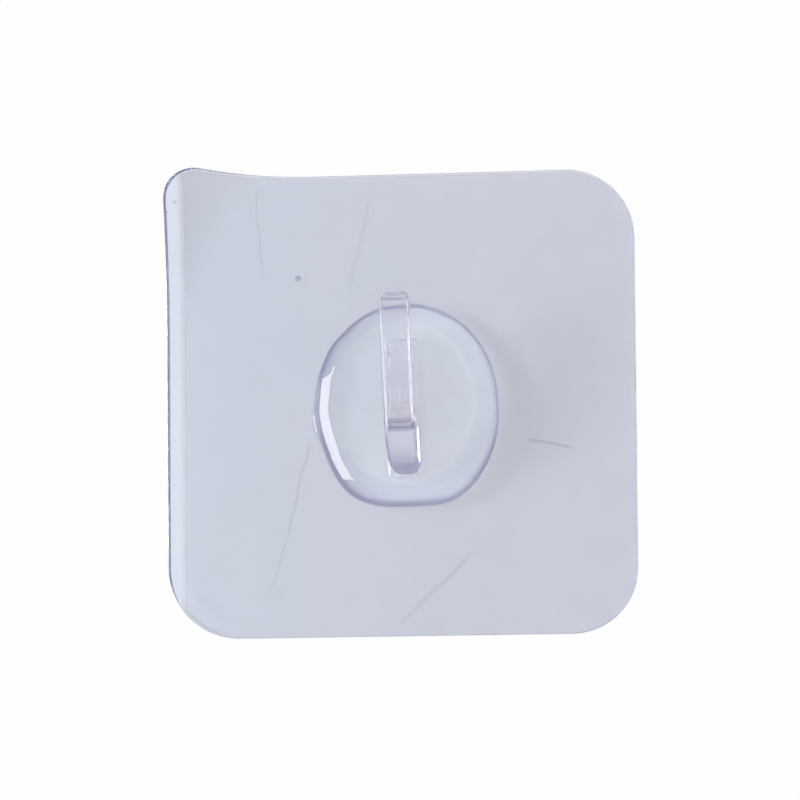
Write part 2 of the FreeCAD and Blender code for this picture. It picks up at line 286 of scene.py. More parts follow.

# The resin: two tints, a painted lilac crescent on the shoulder and a painted highlight line inside it, both
# standing in for light the shoulder bends, and dull spots.
RESIN = (0.98, 0.98, 0.99)
RESIN_TINTS = (0.93, 0.945, 0.955), (0.96, 0.965, 0.97)
RESIN_PATCH = 5.0
RESIN_DARK = (0.8, 0.8, 0.84)
RESIN_PAINTED_CRESCENT = (0.885, 0.885, 0.985)
RESIN_PAINTED_HIGHLIGHT = (1.0, 1.0, 1.0)
# Shares of the way from the dome's middle to its rim.
CRESCENT_FROM, CRESCENT_TO = 0.76, 0.84
HIGHLIGHT_LINE = 0.765
HIGHLIGHT_REACH = 0.05
# Longer than anything here, so that a direction divided by it doesn't count.
FAR = 1000000.0
RESIN_SPOTS = (
    ((-6.2, -6.4), 0.9, 0.5),
    ((8.5, -8.3), 1.8, 0.3),
)

# The plastic: two tints along the lines where it flowed, and pink bands near the throat, a painted
# reflection of the bend there, with a real bump.
PLASTIC = (0.97, 0.96, 0.99)
PLASTIC_TINTS = (0.985, 0.98, 0.995), (0.95, 0.945, 0.975)
PLASTIC_PAINTED_REFLECTION = (0.9, 0.8, 0.83)
FLOW_SIZE = 0.7
FLOW_STRETCH = (1.0, 1.0, 14.0)
FLOW_LOW, FLOW_HIGH = 0.4, 0.65
FLOW_DEPTH = 0.012
REFLECTION_Z = THROAT_Z + 1.5
REFLECTION_FULL, REFLECTION_REACH = 0.5, 2.6
BAND_SIZE = 0.45
BAND_STRETCH = (12.0, 12.0, 1.0)
BAND_SPREAD = (0.4, 0.62, 0.1, 0.8)
BAND_DEPTH = 0.03

# The floor's paper.
PAPER_TINTS = (0.78, 0.78, 0.79), (0.84, 0.84, 0.84)
PAPER_PATCH = 40.0

# Bumps: noise size, detail, stretch and depth.
EVEN = (1, 1, 1)
VINYL_BUMPS = ((1.6, 2.0, EVEN, 0.02), (9.0, 1.0, EVEN, 0.04))
WET_BUMPS = ((5.0, 3.0, EVEN, 0.005),)
HAZE_BUMPS = ((5.0, 3.0, EVEN, 0.01),)
GLUE_BUMPS = ((3.0, 3.0, EVEN, 0.03),)
RESIN_BUMPS = ((3.5, 2.0, EVEN, 0.05), (0.9, 1.0, (1.0, 1.0, 0.5), 0.004))
PAPER_BUMPS = ((1.2, 3.0, EVEN, 0.08),)


def mesh_object(name, verts, faces, kinds, bubbles=()):
    """A smooth-shaded object from points in millimetres; kinds has each face's material number.

    Bubbles are air bubbles inside the solid: a middle and a radius each.
    """
    mesh = bpy.data.meshes.new(name)
    mesh.from_pydata([Vector(v) * MM for v in verts], [], faces)
    mesh.polygons.foreach_set("material_index", kinds)
    bm = bmesh.new()
    bm.from_mesh(mesh)
    bmesh.ops.remove_doubles(bm, verts=bm.verts, dist=SAME * MM)
    bmesh.ops.recalc_face_normals(bm, faces=bm.faces)
    for middle, radius in bubbles:
        place = Matrix.Translation(Vector(middle) * MM) @ Matrix.Diagonal((1, BUBBLE_FLAT, 1, 1))
        ball = bmesh.ops.create_icosphere(bm, subdivisions=BUBBLE_DETAIL, radius=radius * MM, matrix=place)
        shell = {face for vert in ball["verts"] for face in vert.link_faces}
        bmesh.ops.reverse_faces(bm, faces=list(shell))
    bm.to_mesh(mesh)
    bm.free()
    mesh.shade_smooth()
    mesh.set_sharp_from_angle(angle=CREASE)
    obj = bpy.data.objects.new(name, mesh)
    bpy.context.scene.collection.objects.link(obj)
    return obj


def dress(obj, node, slot, *materials):
    """Let a piece stand for its CAD node, with materials in the order of the faces' numbers."""
    for material in materials:
        obj.data.materials.append(material)
    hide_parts(node)
    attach(obj, "root")


# Pad outline

def top_edge(x):
    """Height and slope of the pad's top edge."""
    run = -HALF_WIDTH - RISE_X
    share = max((x - RISE_X) / run, 0)
    return HALF_HEIGHT + RISE_LEFT * share ** 2, 2 * RISE_LEFT * share / run


def corner_arc(side, radius, top):
    """Points of a rounded corner, from the level edge to the upright side."""
    centre_x = side * (HALF_WIDTH - radius)
    if top:
        level, slope = top_edge(centre_x)
        tilt = math.atan(slope)
        level, slope = top_edge(centre_x - radius * math.sin(tilt))
        centre_z = level - radius * math.cos(tilt)
        first = math.pi / 2 + tilt
    else:
        centre_z = -HALF_HEIGHT + radius
        first = -math.pi / 2
    last = 0 if side > 0 else math.copysign(math.pi, first)
    angles = [first + (last - first) * i / CORNER_STEPS for i in range(CORNER_STEPS + 1)]
    return [(centre_x + radius * math.cos(a), centre_z + radius * math.sin(a)) for a in angles]


def fill_steps(start, end, step):
    """Points between two ends, both left out."""
    length = math.dist(start, end)
    count = max(1, round(length / step))
    return [(start[0] + (end[0] - start[0]) * i / count, start[1] + (end[1] - start[1]) * i / count)
            for i in range(1, count)]


def pad_outline(step):
    """The pad's outline, clockwise from the top left corner, with even steps."""
    top_left = corner_arc(-1, CORNER["top_left"], True)
    top_right = corner_arc(1, CORNER["top_right"], True)
    bottom_right = corner_arc(1, CORNER["bottom_right"], False)
    bottom_left = corner_arc(-1, CORNER["bottom_left"], False)
    top = [(x, top_edge(x)[0]) for x, _ in fill_steps(top_left[0], top_right[0], step)]
    points = top_left[::-1] + top + top_right
    points += fill_steps(top_right[-1], bottom_right[-1], step) + bottom_right[::-1]
    points += fill_steps(bottom_right[0], bottom_left[0], step) + bottom_left
    points += fill_steps(bottom_left[-1], top_left[-1], step)
    return points


def inset(points, distances):
    """Move each point of a closed line inwards by its distance; the line runs clockwise."""
    moved = []
    around_it = zip(points[-1:] + points[:-1], points, points[1:] + points[:1], distances)
    for before, here, after, distance in around_it:
        one = Vector((here[0] - before[0], here[1] - before[1])).normalized()
        two = Vector((after[0] - here[0], after[1] - here[1])).normalized()
        along = (one + two).normalized()
        mitre = max(one.dot(along), MITRE_LEAST)
        inward = Vector((along.y, -along.x)) * distance / mitre
        moved.append((here[0] + inward.x, here[1] + inward.y))
    return moved


def curl_lift(x, z):
    """How far the pad stands off the wall at a place of its margin."""
    up_side = min(max(1 + z / HALF_HEIGHT, 0), 1)
    width, lift = (a + (b - a) * up_side for a, b in zip(CURL_FOOT, CURL_SIDE))
    share = max(z - CURL_CORNER_START, 0) / (HALF_HEIGHT - CURL_CORNER_START)
    width += (CURL_CORNER[0] - CURL_SIDE[0]) * share ** 2
    lift += (CURL_CORNER[1] - CURL_SIDE[1]) * share ** 2
    bend = width - HALF_WIDTH
    return lift * (max(bend - x, 0) / width) ** 2


def pad_relief(x, z):
    """How far the pad's front swells out at a place."""
    return SWELL * noise.noise(Vector((x, z, 0)) / SWELL_SIZE)


def no_relief(x, z):
    """A flat front."""
    return 0


def filled(loops, step, clear, marks=()):
    """Points and triangles over a closed line: its points, those of the lines inside it, then a grid.

    Marks are more closed lines inside them all, which the triangles follow too.
    """
    count = len(loops[0])
    points, lines = [], []
    for loop in (*loops, *marks):
        first = len(points)
        points += [Vector(point) for point in loop]
        lines += [(first + i, first + (i + 1) % len(loop)) for i in range(len(loop))]
    inner = inset(loops[-1], [clear] * count)
    low = [math.floor(min(point[axis] for point in inner) / step) for axis in (0, 1)]
    high = [math.ceil(max(point[axis] for point in inner) / step) for axis in (0, 1)]
    for row in range(low[1], high[1] + 1):
        for column in range(low[0], high[0] + 1):
            point = (column * step, row * step)
            if inside(point, inner):
                points.append(Vector(point))
    outer = list(range(count))
    _, _, triangles, origins, _, _ = delaunay_2d_cdt(points, lines, [outer], 1, SAME_FLAT)
    return points, [tuple(origins[i][0] for i in triangle) for triangle in triangles]


def middle_of(points, triangle):
    """The middle of a triangle, as a flat point."""
    return sum((points[i] for i in triangle), Vector((0, 0))) / 3


def sheet_piece(name, back, front, edge, grid, relief, marks, kind, bubbles=()):
    """A clear sheet between two levels, with rounded rims, that follows the curled margin.

    Marks are lines that its front follows; kind gives a material number for a place of the front or back.
    """
    outline = pad_outline(OUTLINE_STEP)
    count = len(outline)
    loops = [inset(outline, [edge * share] * count) for share in EDGE_SHARES]
    falls = [edge - edge * math.sqrt(1 - (1 - share) ** 2) for share in EDGE_SHARES]
    points, triangles = filled(loops, grid, GRID_CLEAR * grid, marks)
    rim = count * (len(loops) - 1)
    verts = []
    for level, outward in ((front, 1), (back, -1)):
        for number, point in enumerate(points):
            on_rim = number < count * len(loops)
            fall = falls[number // count] if on_rim else -relief(*point) * (outward > 0)
            lift = curl_lift(point.x, point.y)
            verts.append((point.x, -(level + lift - outward * fall), point.y))
    shift = len(points)
    faces = list(triangles)
    faces += [tuple(i + shift for i in reversed(triangle)) for triangle in triangles]
    sides = [(a, b, b + shift, a + shift) for a, b in rim_loop(triangles)]
    flat = [min(triangle) >= rim for triangle in triangles]
    middles = [middle_of(points, triangle) for triangle in triangles]
    kinds = [kind(middle, True) if ok else OUTER for ok, middle in zip(flat, middles)]
    kinds += [kind(middle, False) if ok else OUTER for ok, middle in zip(flat, middles)]
    return mesh_object(name, verts, faces + sides, kinds + [OUTER] * len(sides), bubbles)


def rim_loop(triangles):
    """The edges that belong to one triangle only."""
    seen = {}
    for f in triangles:
        for a, b in zip(f, f[1:] + f[:1]):
            seen[(a, b)] = True
    return [(b, a) for a, b in seen if (b, a) not in seen]


def inside(point, outline):
    """Whether a point lies inside a closed line."""
    x, z = point
    odd = False
    for (ax, az), (bx, bz) in zip(outline, outline[1:] + outline[:1]):
        if (az > z) != (bz > z) and x < (bx - ax) * (z - az) / (bz - az) + ax:
            odd = not odd
    return odd


# Resin dome

def around(values, turn):
    """A smooth closed line through evenly spaced values, at a share of the full turn."""
    count = len(values)
    place = turn * count
    index = math.floor(place)
    t = place - index
    p0, p1, p2, p3 = (values[(index + k) % count] for k in (-1, 0, 1, 2))
    return 0.5 * (2 * p1 + (p2 - p0) * t + (2 * p0 - 5 * p1 + 4 * p2 - p3) * t ** 2
                  + (3 * p1 - p0 - 3 * p2 + p3) * t ** 3)


def dome_reach(angle):
    """Distance from the dome's middle to its outline; the angle is from +Z towards +X."""
    across = math.sin(angle) / DOME_HALF[0]
    along = math.cos(angle) / DOME_HALF[1]
    return 1 / math.hypot(across, along) + around(RESIN_RUN, angle / (2 * math.pi))


def hook_distance(x, z):
    """Distance from a place on the pad to the hook's foot strip, nought on the strip."""
    across = abs(x - HOOK_X) - WIDTH_HEEL / 2
    along = max(z - STRIP_Z, HEEL_Z - z)
    return math.hypot(max(across, 0), max(along, 0))


def dome_top(x, z):
    """Height of the resin above its shoulder: a low crown, ripples and a rise where it wets the hook."""
    crown = 1 - ((x - DOME_X) / DOME_HALF[0]) ** 2 - (z / DOME_HALF[1]) ** 2
    ripple = noise.noise(Vector((x, z, 0)) / RIPPLE_SIZE)
    wetting = math.exp(-hook_distance(x, z) / WETTING_REACH)
    return DOME_CROWN * crown + RIPPLE_HEIGHT * ripple + WETTING_HEIGHT * wetting


def bead_lip(angle):
    """How far the crept-out drop reaches past the dome's outline."""
    middle = math.atan2(BEAD_X - DOME_X, BEAD_Z) % (2 * math.pi)
    off = (angle - middle) * DOME_HALF[0] / (BEAD_WIDTH / 2)
    return BEAD_PROUD * max(1 - off ** 2, 0)


def dome_foot(a):
    """The slightly wavy line where the resin ends on the pad."""
    return dome_reach(a) + FOOT_WAVE * noise.noise(Vector((math.sin(a), math.cos(a), 0)) * FOOT_WAVES)


def dome_line(segments):
    """The resin's foot with its crept-out drop, as a closed line of (x, z), clockwise."""
    turns = [2 * math.pi * k / segments for k in range(segments)]
    reaches = [dome_foot(a) + bead_lip(a) for a in turns]
    return [(DOME_X + r * math.sin(a), r * math.cos(a)) for a, r in zip(turns, reaches)]


def foot_print():
    """The outline of the hook's strip and heel on the pad, clockwise, with rounded corners."""
    line = []
    corners = ((-1, True, math.pi), (1, True, math.pi / 2), (1, False, 0), (-1, False, -math.pi / 2))
    for side, top, start in corners:
        radius = STRIP_CORNER if top else HEEL_CORNER
        middle_x = HOOK_X + side * (WIDTH_HEEL / 2 - radius)
        middle_z = STRIP_Z - radius if top else HEEL_Z + radius
        for k in range(FOOT_PRINT_STEPS + 1):
            a = start - math.pi / 2 * k / FOOT_PRINT_STEPS
            line.append((middle_x + radius * math.cos(a), middle_z + radius * math.sin(a)))
    return line


def dome_piece():
    """The poured resin: an uneven foot, a steep wall, a round shoulder and an almost level top."""
    segments = DOME_SEGMENTS
    verts = []

    def ring(reach, height):
        """A closed line of points; reach and height depend on the angle."""
        for k in range(segments):
            a = 2 * math.pi * k / segments
            r = reach(a)
            x, z = DOME_X + r * math.sin(a), r * math.cos(a)
            verts.append((x, -(PAD_FRONT + height(a, x, z)), z))

    ring(lambda a: dome_foot(a) + bead_lip(a), lambda a, x, z: -BOND)
    for i in range(DOME_LIP_STEPS):
        turn = math.pi / 2 * i / DOME_LIP_STEPS
        ring(lambda a: dome_foot(a) + bead_lip(a) * math.cos(turn),
             lambda a, x, z: BEAD_HEIGHT * bead_lip(a) / BEAD_PROUD * math.sin(turn))
    for i in range(DOME_WALL_STEPS + 1):
        turn = math.pi / 2 * i / DOME_WALL_STEPS
        ring(lambda a: dome_foot(a) - DOME_SHOULDER * (1 - math.cos(turn)),
             lambda a, x, z: max(DOME_THICK * math.sin(turn) + dome_top(x, z) * math.sin(turn) ** 4,
                                 BEAD_HEIGHT * bead_lip(a) / BEAD_PROUD))
    faces = []
    last = len(verts) - segments
    for first in range(0, last, segments):
        for k in range(segments):
            n = (k + 1) % segments
            faces.append((first + k, first + n, first + segments + n, first + segments + k))
    level_line = [(x, z) for x, _, z in verts[last:]]
    print_line = foot_print()
    points, triangles = filled([level_line], DOME_GRID, DOME_GRID, [print_line])
    verts += [(x, -(PAD_FRONT + DOME_THICK + dome_top(x, z)), z) for x, z in points[segments:]]
    kinds = [OUTER] * len(faces)
    kinds += [BONDED if inside(middle_of(points, triangle), print_line) else OUTER for triangle in triangles]
    faces += [tuple(last + i for i in triangle) for triangle in triangles]
    faces.append(tuple(range(segments)))
    return mesh_object("resin_dome_clear", verts, faces, kinds + [BONDED])


# Hook

def rounded(corners, step):
    """A closed line through corners (y, z, radius, edge); arcs replace sharp corners.

    Each point of the line comes with how round the long edge is there, blended between corners.
    """
    arcs = []
    count = len(corners)
    for i, (y, z, radius, edge) in enumerate(corners):
        here = Vector((y, z))
        one = (Vector(corners[i - 1][:2]) - here).normalized()
        two = (Vector(corners[(i + 1) % count][:2]) - here).normalized()
        half = one.angle(two) / 2
        reach = radius / math.tan(half)
        centre = here + (one + two).normalized() * radius / math.sin(half)
        start = here + one * reach - centre
        end = here + two * reach - centre
        swing = math.atan2(start.x * end.y - start.y * end.x, start.dot(end)) if radius else 0
        pieces = max(1, math.ceil(radius * abs(swing) / step))
        turns = [Matrix.Rotation(swing * k / pieces, 2) for k in range(pieces + 1 if radius else 1)]
        arcs.append([(*(centre + turn @ start), edge) for turn in turns])
    line = []
    for arc, following in zip(arcs, arcs[1:] + arcs[:1]):
        line += arc
        first, last = Vector(arc[-1]), Vector(following[0])
        pieces = max(1, round((last - first).xy.length / step))
        line += [tuple(first.lerp(last, k / pieces)) for k in range(1, pieces)]
    return line


def tongue_frame():
    """Directions along and across the tongue, and the two corners of its tip, as (y, z)."""
    rise, out = math.cos(TONGUE_LEAN), math.sin(TONGUE_LEAN)
    down, across = Vector((out, -rise)), Vector((rise, out))
    tip_front = Vector((-TIP_REACH, TIP_Z))
    return down, tip_front, tip_front + across * TONGUE_THICK


def hook_side():
    """The hook's side view as a closed line of (y, z, edge), clockwise seen from -X."""
    down, tip_front, tip_back = tongue_frame()
    heel_front = tip_front + down * ((TIP_Z - HEEL_Z) / -down.y)
    throat_front = tip_back + down * ((tip_back.y - THROAT_Z) / -down.y)
    corners = [
        (2 * BOND, HEEL_Z, 0, FOOT_ROUND),
        (heel_front.x, HEEL_Z, HEEL_ROUND, OUTER_ROUND),
        (*tip_front, OUTER_ROUND + EDGE_EASE, TIP_ROUND),
        (*tip_back, INNER_ROUND + EDGE_EASE, INNER_ROUND),
        (throat_front.x, THROAT_Z, THROAT_FRONT_ROUND, INNER_ROUND),
        (-STRIP_THICK, THROAT_Z, THROAT_BACK_ROUND, INNER_ROUND),
        (-STRIP_THICK, STRIP_Z, INNER_ROUND + EDGE_EASE, INNER_ROUND),
        (2 * BOND, STRIP_Z, 0, FOOT_ROUND),
    ]
    return rounded(corners, HOOK_STEP)


def corner_loss(depth, radius):
    """How much narrower a rounded corner is, at a depth below its end."""
    short = max(radius - max(depth, 0), 0)
    return radius - math.sqrt(radius ** 2 - short ** 2)


def hook_half_width(y, z):
    """Half the hook's width at a place of its side view; it tapers and its ends are rounded."""
    down, tip_front, tip_back = tongue_frame()
    share = min(max((z - HEEL_Z) / (TIP_Z - HEEL_Z), 0), 1)
    half = (WIDTH_HEEL + (WIDTH_TIP - WIDTH_HEEL) * share) / 2
    if y < -STRIP_THICK - TONGUE_CLEAR:
        below_tip = (Vector((y, z)) - tip_front).dot(down)
        half -= corner_loss(below_tip, TIP_CORNER)
    else:
        half -= corner_loss(STRIP_Z - z, STRIP_CORNER)
    return half - corner_loss(z - HEEL_Z, HEEL_CORNER)


def hook_piece():
    """The moulded hook: its side view swept across, with rounded long edges and a slight taper."""
    line = hook_side()
    side = [(y, z) for y, z, _ in line]
    edges = [edge for _, _, edge in line]
    count = len(side)
    turns = [math.pi / 2 * k / EDGE_STEPS for k in range(EDGE_STEPS + 1)]
    verts = []
    for hand, order in ((1, turns), (-1, turns[::-1])):
        for turn in order:
            moved = inset(side, [edge * (1 - math.sin(turn)) for edge in edges])
            for (y, z), full, edge in zip(moved, side, edges):
                half = hook_half_width(*full) - edge * (1 - math.cos(turn))
                verts.append((HOOK_X + hand * half, y - PAD_FRONT, z))
    faces = []
    last = len(verts) - count
    for first in range(0, last, count):
        for k in range(count):
            n = (k + 1) % count
            faces.append((first + k, first + n, first + count + n, first + count + k))
    cap = inset(side, edges)
    points, triangles = filled([cap], HOOK_STEP, HOOK_STEP)
    for hand, first in ((1, 0), (-1, last)):
        shift = len(verts) - count
        verts += [(HOOK_X + hand * hook_half_width(y, z), y - PAD_FRONT, z) for y, z in points[count:]]
        faces += [tuple(first + i if i < count else shift + i for i in triangle) for triangle in triangles]
    depths = [sum(verts[i][1] for i in face) / len(face) for face in faces]
    kinds = [BONDED if depth > -PAD_FRONT - WETTED else OUTER for depth in depths]
    return mesh_object("hook_moulding", verts, faces, kinds)


# Materials

def material(name, ior, transmission):
    """A material with a Principled shader; returns both."""
    mat = bpy.data.materials.new(name)
    mat.use_nodes = True
    shader = mat.node_tree.nodes["Principled BSDF"]
    shader.inputs["IOR"].default_value = ior
    shader.inputs["Transmission Weight"].default_value = transmission
    return mat, shader


class Shade:
    """The node tree of one material, with short ways to add nodes; places are in millimetres."""

    def __init__(self, name, roughness, ior, transmission):
        self.mat, self.shader = material(name, ior, transmission)
        self.nodes, self.links = self.mat.node_tree.nodes, self.mat.node_tree.links
        coords = self.nodes.new("ShaderNodeTexCoord")
        self.place = self.vector("SCALE", coords.outputs["Object"], scale=1 / MM)
        split = self.nodes.new("ShaderNodeSeparateXYZ")
        self.links.new(self.place, split.inputs[0])
        self.x, self.z = split.outputs["X"], split.outputs["Z"]
        self.height = None
        self.roughness = 0.0
        if roughness:
            self.roughness = self.patches(SMUDGE_SIZE, roughness, ROUGH_SPREAD * roughness)

    def put(self, node, socket, value):
        """Set a socket to a constant, or link another node's output to it."""
        if isinstance(value, (int, float, tuple, Vector)):
            node.inputs[socket].default_value = value
        else:
            self.links.new(value, node.inputs[socket])

    def vector(self, operation, *values, scale=None):
        node = self.nodes.new("ShaderNodeVectorMath")
        node.operation = operation
        for socket, value in enumerate(values):
            self.put(node, socket, value)
        if scale is not None:
            node.inputs["Scale"].default_value = scale
        return node.outputs["Value" if operation in ("DOT_PRODUCT", "LENGTH") else "Vector"]

    def math(self, operation, *values):
        node = self.nodes.new("ShaderNodeMath")
        node.operation = operation
        for socket, value in enumerate(values):
            self.put(node, socket, value)
        return node.outputs[0]

    def noise(self, size, detail=3.0, stretch=(1, 1, 1)):
        """Soft noise from 0 to 1 with patches of about this size; stretch makes them longer."""
        node = self.nodes.new("ShaderNodeTexNoise")
        node.inputs["Scale"].default_value = 1 / size
        node.inputs["Detail"].default_value = detail
        self.links.new(self.vector("DIVIDE", self.place, stretch), node.inputs["Vector"])
        return node.outputs["Fac"]

    def spread(self, value, low, high, first, last):
        """Map a range of values smoothly to another."""
        node = self.nodes.new("ShaderNodeMapRange")
        node.interpolation_type = "SMOOTHSTEP"
        for socket, item in zip(("Value", "From Min", "From Max", "To Min", "To Max"),
                                (value, low, high, first, last)):
            self.put(node, socket, item)
        return node.outputs["Result"]

    def patches(self, size, first, last, detail=3.0):
        """From one value to another in soft patches of about this size."""
        return self.spread(self.noise(size, detail), PATCH_LOW, PATCH_HIGH, first, last)

    def near(self, value, middle, full, reach):
        """One where a value is within the first distance of a middle, nought beyond the second."""
        off = self.math("ABSOLUTE", self.math("SUBTRACT", value, middle))
        return self.spread(off, full, reach, 1, 0)

    def mix(self, share, first, last):
        """Mix two colours."""
        node = self.nodes.new("ShaderNodeMix")
        node.data_type = "RGBA"
        self.put(node, 0, share)
        for socket, colour in ((6, first), (7, last)):
            self.put(node, socket, (*colour, 1.0) if isinstance(colour, tuple) else colour)
        return node.outputs[2]

    def raise_by(self, value, depth):
        """Add a value times a depth in millimetres to the height for the bump."""
        step = self.math("MULTIPLY", value, depth)
        self.height = step if self.height is None else self.math("ADD", self.height, step)

    def bumps(self, rows):
        """Add noises to the height: size, detail, stretch and depth each."""
        for size, detail, stretch, depth in rows:
            self.raise_by(self.noise(size, detail, stretch), depth)

    def streak(self, start, end, width):
        """One along a fine line between two places (x, z), nought elsewhere; it fades at its ends."""
        along = Vector((end[0] - start[0], 0, end[1] - start[1]))
        length = along.length
        along = along / length
        across = Vector((along.z, 0, -along.x))
        off = self.vector("SUBTRACT", self.place, Vector((start[0], 0, start[1])))
        run = self.vector("DOT_PRODUCT", off, along)
        wander = self.math("SUBTRACT", self.noise(STREAK_WANDER, 1.0), 0.5)
        wander = self.math("MULTIPLY", wander, STREAK_SWAY)
        side = self.math("ABSOLUTE", self.math("ADD", self.vector("DOT_PRODUCT", off, across), wander))
        middle = self.math("ABSOLUTE", self.math("SUBTRACT", run, length / 2))
        return self.math("MULTIPLY", self.spread(side, 0, width, 1, 0),
                         self.spread(middle, STREAK_FULL * length, 0.5 * length, 1, 0))

    def spot(self, middle, radius):
        """One round a place (x, z), fading to nought at a radius."""
        off = self.vector("SUBTRACT", self.place, Vector((middle[0], 0, middle[1])))
        flat = self.vector("MULTIPLY", off, (1, 0, 1))
        return self.spread(self.vector("LENGTH", flat), 0, radius, 1, 0)

    def darken(self, colour, spots, tint):
        """Mix a tint into a colour at spots: a middle (x, z), a radius and a share each."""
        for middle, radius, share in spots:
            colour = self.mix(self.math("MULTIPLY", self.spot(middle, radius), share), colour, tint)
        return colour

    def finish(self, colour):
        """Link colour, roughness and bump to the shader."""
        self.put(self.shader, "Base Color", colour)
        self.put(self.shader, "Roughness", self.roughness)
        bump = self.nodes.new("ShaderNodeBump")
        bump.inputs["Distance"].default_value = MM
        self.put(bump, "Height", self.height)
        self.links.new(bump.outputs["Normal"], self.shader.inputs["Normal"])
        return self.mat


def vinyl_material():
    """Clear soft vinyl: bluish at the left, pinker at the right, with painted light where it curls and
    painted shade in its old creases.
    """
    shade = Shade("soft_vinyl_clear", VINYL_ROUGH, VINYL_IOR, 1.0)
    cloud = shade.noise(CLOUD_SIZE, 2.0)
    slant = shade.math("ADD", shade.x, shade.math("MULTIPLY", cloud, CLOUD_SIZE))
    colour = shade.mix(shade.spread(slant, -HALF_WIDTH, HALF_WIDTH, 0, 1), VINYL_LEFT, VINYL_RIGHT)
    colour = shade.mix(shade.spread(shade.noise(SMUDGE_SIZE), *SMUDGING), colour, VINYL_SMUDGE)
    # Painted light: the curled margin is made paler, as if lit through from behind.
    curled = shade.spread(shade.x, CURL_EDGE - CURL_BLEND, CURL_EDGE, CURL_PAINTED_BACKLIGHT, 0)
    colour = shade.mix(curled, colour, VINYL_PAINTED_BACKLIGHT)
    shade.bumps(VINYL_BUMPS)
    # Each crease's darkening is painted shade; its groove in the bump is real.
    for start, end, width, depth, shadow in STREAKS:
        streak = shade.streak(start, end, width)
        shade.raise_by(streak, -depth)
        colour = shade.mix(shade.math("MULTIPLY", streak, shadow), colour, VINYL_SMUDGE_AND_CREASE_SHADE)
    return shade.finish(shade.darken(colour, SMUDGES, VINYL_SMUDGE_AND_CREASE_SHADE))


def wet_vinyl_material():
    """The pad's front under the resin: painted light and shade, paler and bluer to the right, unevenly."""
    shade = Shade("soft_vinyl_bonded", 0.0, BONDED_IOR, 1.0)
    slant = shade.math("ADD", shade.x, shade.math("MULTIPLY", shade.noise(WET_PATCH), WET_WANDER))
    share = shade.spread(slant, WET_FROM, WET_TO, 0, 1)
    shade.bumps(WET_BUMPS)
    return shade.finish(shade.mix(share, WET_VINYL_PAINTED_SHADE, WET_VINYL_PAINTED_LIGHT))


def haze_material():
    """The pad's back: it scatters some light, unevenly, but hardly where the margin curls off; there it is
    also painted paler, as light coming through it from behind.
    """
    shade = Shade("soft_vinyl_haze", 0.0, BONDED_IOR, 1.0)
    curled = shade.spread(shade.x, CURL_EDGE - CURL_BLEND, CURL_EDGE, 1, 0)
    cloud = shade.patches(CLOUD_SIZE, HAZE_CLEAR - HAZE_VARIES, HAZE_CLEAR + HAZE_VARIES, HAZE_DETAIL)
    clear = shade.math("ADD", cloud, shade.math("MULTIPLY", curled, HAZE_CURLED - HAZE_CLEAR))
    shade.put(shade.shader, "Transmission Weight", clear)
    shade.bumps(HAZE_BUMPS)
    # Painted light: the colour turns paler where the margin curls.
    return shade.finish(shade.mix(curled, HAZE, HAZE_PAINTED_BACKLIGHT))


def adhesive_material():
    """Clear glue: cloudy patches and small specks of trapped air."""
    shade = Shade("adhesive_clear", GLUE_ROUGH, GLUE_IOR, 1.0)
    specks = shade.spread(shade.noise(SPECK_SIZE, 1.0), SPECK_FROM, SPECK_TO, 0, 1)
    colour = shade.mix(shade.patches(GLUE_PATCH, 0, 1), GLUE_CLOUDY, GLUE)
    colour = shade.mix(shade.math("MULTIPLY", specks, SPECK_SHARE), colour, GLUE_SPECK)
    shade.bumps(GLUE_BUMPS)
    shade.raise_by(specks, SPECK_DEPTH)
    return shade.finish(colour)


def resin_material():
    """Poured resin: almost flawless, with faint flow ripples, and with a painted lilac crescent and
    highlight line on the shoulder.
    """
    shade = Shade("resin_clear", RESIN_ROUGH, RESIN_IOR, 1.0)
    colour = shade.mix(shade.patches(RESIN_PATCH, 0, 1), *RESIN_TINTS)
    off = shade.vector("SUBTRACT", shade.place, Vector((DOME_X, 0, 0)))
    off = shade.vector("DIVIDE", off, (DOME_HALF[0], FAR, DOME_HALF[1]))
    share = shade.vector("LENGTH", off)
    # Painted light: a lilac crescent and a pale line on the shoulder stand in for light bent by it.
    colour = shade.mix(shade.spread(share, CRESCENT_FROM, CRESCENT_TO, 0, 1), colour, RESIN_PAINTED_CRESCENT)
    colour = shade.mix(shade.near(share, HIGHLIGHT_LINE, 0, HIGHLIGHT_REACH), colour, RESIN_PAINTED_HIGHLIGHT)
    shade.bumps(RESIN_BUMPS)
    return shade.finish(shade.darken(colour, RESIN_SPOTS, RESIN_DARK))


def plastic_material():
    """Moulded clear plastic: fine lines along its length where it flowed, with painted pink reflection bands
    near the throat.
    """
    shade = Shade("plastic_clear", PLASTIC_ROUGH, PLASTIC_IOR, 1.0)
    flow = shade.noise(FLOW_SIZE, 2.0, FLOW_STRETCH)
    colour = shade.mix(shade.spread(flow, FLOW_LOW, FLOW_HIGH, 0, 1), *PLASTIC_TINTS)
    near = shade.near(shade.z, REFLECTION_Z, REFLECTION_FULL, REFLECTION_REACH)
    bands = shade.noise(BAND_SIZE, 1.0, BAND_STRETCH)
    # Painted reflection: pink bands near the throat.
    painted_reflection = shade.math("MULTIPLY", near, shade.spread(bands, *BAND_SPREAD))
    shade.raise_by(flow, FLOW_DEPTH)
    shade.raise_by(shade.math("MULTIPLY", near, bands), BAND_DEPTH)
    return shade.finish(shade.mix(painted_reflection, colour, PLASTIC_PAINTED_REFLECTION))


def paper_material():
    """Matt white paper with a fine tooth."""
    shade = Shade("floor_paper", PAPER_ROUGH, PAPER_IOR, 0.0)
    colour = shade.mix(shade.noise(PAPER_PATCH), *PAPER_TINTS)
    shade.bumps(PAPER_BUMPS)
    return shade.finish(colour)


